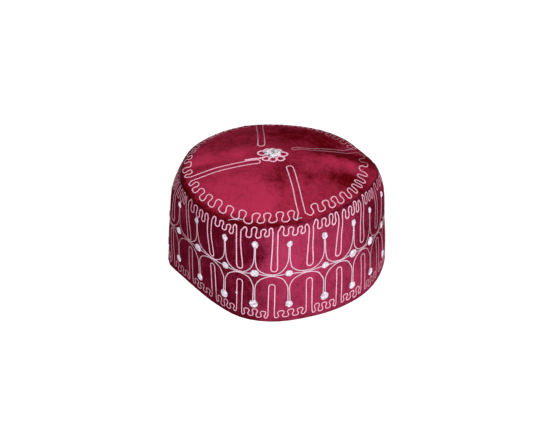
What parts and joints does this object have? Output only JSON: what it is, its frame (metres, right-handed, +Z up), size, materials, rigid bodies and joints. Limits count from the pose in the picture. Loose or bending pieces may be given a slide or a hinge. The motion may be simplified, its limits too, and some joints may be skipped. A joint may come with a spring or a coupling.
{
  "type": "kufi cap",
  "caption": "Round brimless velvet cap with an upright side band, a low domed crown panel sewn into it, pale thread embroidery and a raised rosette on top.",
  "frame": {"origin": "under the middle of the rim's outline, in the plane that the cap stands on", "axes": "+Z up through the crown, +X to the cap's right along its longest side, -Y to the front"},
  "size_m": [0.1978, 0.1868, 0.1053],
  "materials": {
    "velvet_band": "crimson velvet, short nap",
    "velvet_crown": "crimson velvet, short nap",
    "thread": "pale embroidery thread"
  },
  "bodies": {
    "root": {"band": "velvet_band", "crown": "velvet_crown", "rosette": "thread"}
  },
  "joints": []
}
